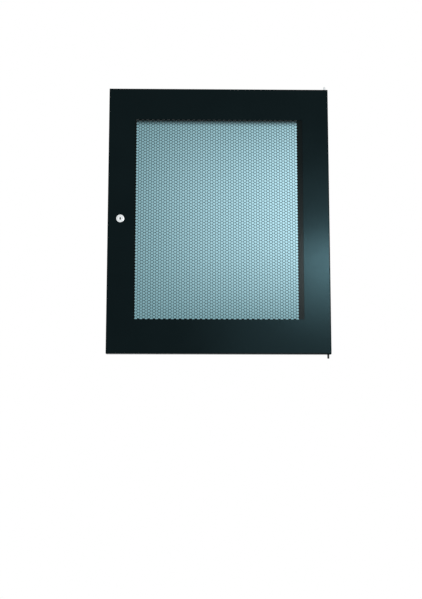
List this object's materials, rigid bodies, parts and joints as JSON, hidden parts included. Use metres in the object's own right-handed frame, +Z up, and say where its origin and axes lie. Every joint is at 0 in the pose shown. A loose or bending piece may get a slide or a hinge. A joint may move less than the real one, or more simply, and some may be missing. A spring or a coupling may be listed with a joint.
{
  "type": "perforated rack door",
  "caption": "Folded steel equipment rack door with a hexagonally perforated window, cam lock, fixed lower hinge pin and sprung upper hinge pin.",
  "frame": {"origin": "on the hinge axis, at the level of the door's lower edge, where the lower pin leaves the door", "axes": "+Z up along the hinge axis, +X towards the hinge side, +Y into the rack; the front faces -Y"},
  "size_m": [0.5334, 0.0314, 0.669],
  "materials": {
    "powder_coat": "satin black powder coat",
    "sheet_coat": "satin black powder coat on perforated sheet",
    "zinc": "bright zinc plate",
    "spring_steel": "drawn spring wire",
    "black_pin": "black zinc",
    "nickel": "polished nickel",
    "brass": "plain brass",
    "rubber": "moulded rubber"
  },
  "bodies": {
    "door": {"door_frame": "powder_coat", "perforated_sheet": "sheet_coat", "sheet_studs": "zinc", "sheet_nuts": "zinc", "lower_hinge_bracket": "powder_coat", "lower_hinge_pin": "black_pin", "upper_hinge_bracket": "powder_coat", "bracket_studs": "zinc", "bracket_nuts": "zinc", "lock_housing": "nickel", "lock_washer": "zinc", "lock_nut": "zinc", "door_bumpers": "rubber", "ground_stud": "zinc", "ground_washer": "zinc", "ground_nut": "zinc"},
    "sprung_pin": {"upper_hinge_pin": "zinc", "upper_pin_clip": "zinc", "upper_pin_washer": "zinc", "upper_pin_spring": "spring_steel"},
    "lock_turning": {"lock_plug": "nickel", "lock_wafers": "brass", "cam_stop_plate": "zinc", "lock_cam": "zinc", "cam_washer": "zinc", "cam_screw": "zinc"}
  },
  "joints": [
    {"name": "upper_pin_slide", "type": "slide", "parent": "door", "child": "sprung_pin", "axis": [0, 0, -1], "range_m": [0, 0.012], "stiffness_N_per_m": 900, "springref_m": -0.01, "deforming": ["upper_pin_spring"]},
    {"name": "lock_turn", "type": "hinge", "parent": "door", "child": "lock_turning", "pos_m": [-0.4959, 0, 0.325], "axis": [0, 1, 0], "range_deg": [0, 90]}
  ]
}
